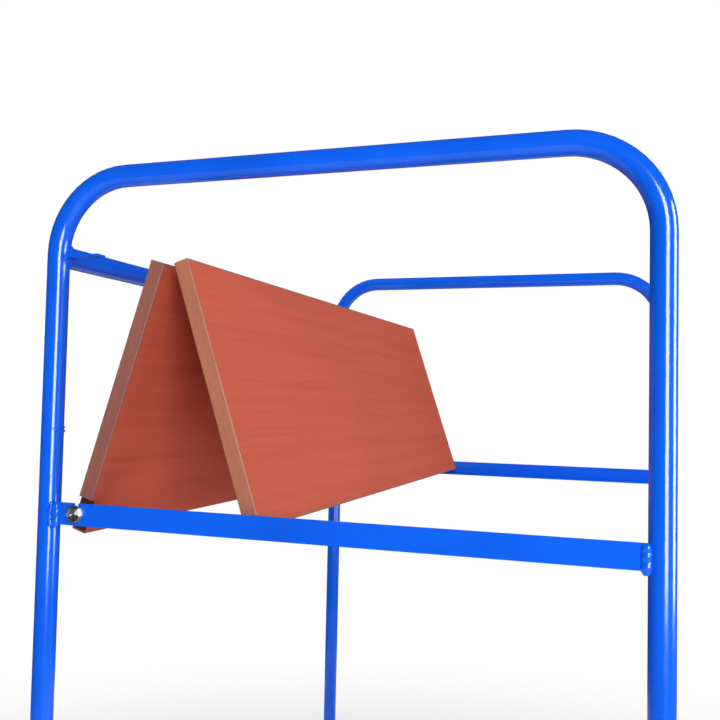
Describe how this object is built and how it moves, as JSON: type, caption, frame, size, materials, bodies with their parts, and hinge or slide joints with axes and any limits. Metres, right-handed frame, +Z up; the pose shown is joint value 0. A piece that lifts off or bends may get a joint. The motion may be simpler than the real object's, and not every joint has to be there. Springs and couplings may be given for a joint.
{
  "type": "shelf trolley",
  "caption": "Tall shelf trolley with bent tube end frames, fixed boards on angle bearers, castors, and a top shelf of two hinged boards that folds up to the back.",
  "frame": {"origin": "centre of the floor area under the trolley, at floor level", "axes": "+Z up; +X towards the open front, away from the back rail; +Y along the trolley, away from the swivel castors"},
  "size_m": [0.687, 0.9552, 1.8],
  "materials": {
    "frame_paint": "glossy blue powder coat",
    "board_laminate": "cherry red wood laminate, satin",
    "edging": "tan edging strip, satin",
    "turned_steel": "turned, bright zinc",
    "zinc_plate": "zinc plated",
    "tyre_rubber": "dark grey rubber",
    "wheel_centre": "moulded grey nylon",
    "pedal_moulding": "moulded dark grey nylon"
  },
  "bodies": {
    "frame": {"end_frame_near": "frame_paint", "end_frame_far": "frame_paint", "back_rail": "frame_paint", "stop_lugs": "frame_paint", "folding_bearer_near": "frame_paint", "folding_bearer_far": "frame_paint", "upper_bearers": "frame_paint", "lower_bearers": "frame_paint", "deck_bearers": "frame_paint", "base_rails": "frame_paint", "corner_plates": "frame_paint", "upper_shelf_board": "board_laminate", "upper_shelf_edging": "edging", "lower_shelf_board": "board_laminate", "lower_shelf_edging": "edging", "deck_board": "board_laminate", "deck_edging": "edging", "shelf_screws": "zinc_plate", "castor_bolts": "zinc_plate", "castor_nuts": "zinc_plate", "swivel_plate_back": "zinc_plate", "swivel_plate_front": "zinc_plate", "king_pin_back": "zinc_plate", "king_pin_front": "zinc_plate", "swivel_balls": "zinc_plate", "fixed_bracket_back": "zinc_plate", "fixed_bracket_front": "zinc_plate", "axle_far_back": "zinc_plate", "axle_far_front": "zinc_plate"},
    "rear_leaf": {"rear_leaf_board": "board_laminate", "rear_leaf_edging": "edging", "pivot_bolt_near": "turned_steel", "pivot_bolt_far": "turned_steel", "pivot_spacers": "turned_steel", "pivot_inserts": "turned_steel", "rear_hinge_plates": "zinc_plate", "hinge_pins": "zinc_plate", "rear_hinge_screws": "zinc_plate"},
    "front_leaf": {"front_leaf_board": "board_laminate", "front_leaf_edging": "edging", "front_hinge_plates": "zinc_plate", "front_hinge_screws": "zinc_plate"},
    "fork_back": {"swivel_fork_back": "zinc_plate", "axle_near_back": "zinc_plate", "brake_pin_back": "zinc_plate"},
    "pedal_back": {"brake_pedal_back": "pedal_moulding"},
    "wheel_near_back": {"tyre_near_back": "tyre_rubber", "wheel_hub_near_back": "wheel_centre"},
    "wheel_far_back": {"tyre_far_back": "tyre_rubber", "wheel_hub_far_back": "wheel_centre"},
    "fork_front": {"swivel_fork_front": "zinc_plate", "axle_near_front": "zinc_plate", "brake_pin_front": "zinc_plate"},
    "pedal_front": {"brake_pedal_front": "pedal_moulding"},
    "wheel_near_front": {"tyre_near_front": "tyre_rubber", "wheel_hub_near_front": "wheel_centre"},
    "wheel_far_front": {"tyre_far_front": "tyre_rubber", "wheel_hub_far_front": "wheel_centre"}
  },
  "joints": [
    {"name": "shelf_lift", "type": "hinge", "parent": "frame", "child": "rear_leaf", "pos_m": [-0.28925, 0, 1.4063], "axis": [0, -1, 0], "range_deg": [-72.42, 12.6]},
    {"name": "shelf_fold", "type": "hinge", "parent": "rear_leaf", "child": "front_leaf", "pos_m": [-0.18524, 0, 1.6849], "axis": [0, 1, 0], "range_deg": [-143.97, 25.09]},
    {"name": "castor_swivel_back", "type": "hinge", "parent": "frame", "child": "fork_back", "pos_m": [-0.276, -0.399, 0.15], "axis": [0, 0, 1], "continuous": true},
    {"name": "wheel_spin_near_back", "type": "hinge", "parent": "fork_back", "child": "wheel_near_back", "pos_m": [-0.276, -0.361, 0.0625], "axis": [1, 0, 0], "continuous": true},
    {"name": "brake_back", "type": "hinge", "parent": "fork_back", "child": "pedal_back", "pos_m": [-0.276, -0.341, 0.133], "axis": [-1, 0, 0], "range_deg": [0, 12]},
    {"name": "wheel_spin_far_back", "type": "hinge", "parent": "frame", "child": "wheel_far_back", "pos_m": [-0.276, 0.399, 0.0625], "axis": [1, 0, 0], "continuous": true},
    {"name": "castor_swivel_front", "type": "hinge", "parent": "frame", "child": "fork_front", "pos_m": [0.276, -0.399, 0.15], "axis": [0, 0, 1], "continuous": true},
    {"name": "wheel_spin_near_front", "type": "hinge", "parent": "fork_front", "child": "wheel_near_front", "pos_m": [0.276, -0.361, 0.0625], "axis": [1, 0, 0], "continuous": true},
    {"name": "brake_front", "type": "hinge", "parent": "fork_front", "child": "pedal_front", "pos_m": [0.276, -0.341, 0.133], "axis": [-1, 0, 0], "range_deg": [0, 12]},
    {"name": "wheel_spin_far_front", "type": "hinge", "parent": "frame", "child": "wheel_far_front", "pos_m": [0.276, 0.399, 0.0625], "axis": [1, 0, 0], "continuous": true}
  ],
  "couplings": [
    {"joint": "shelf_fold", "follows": "shelf_lift", "ratio": 1.9873}
  ]
}
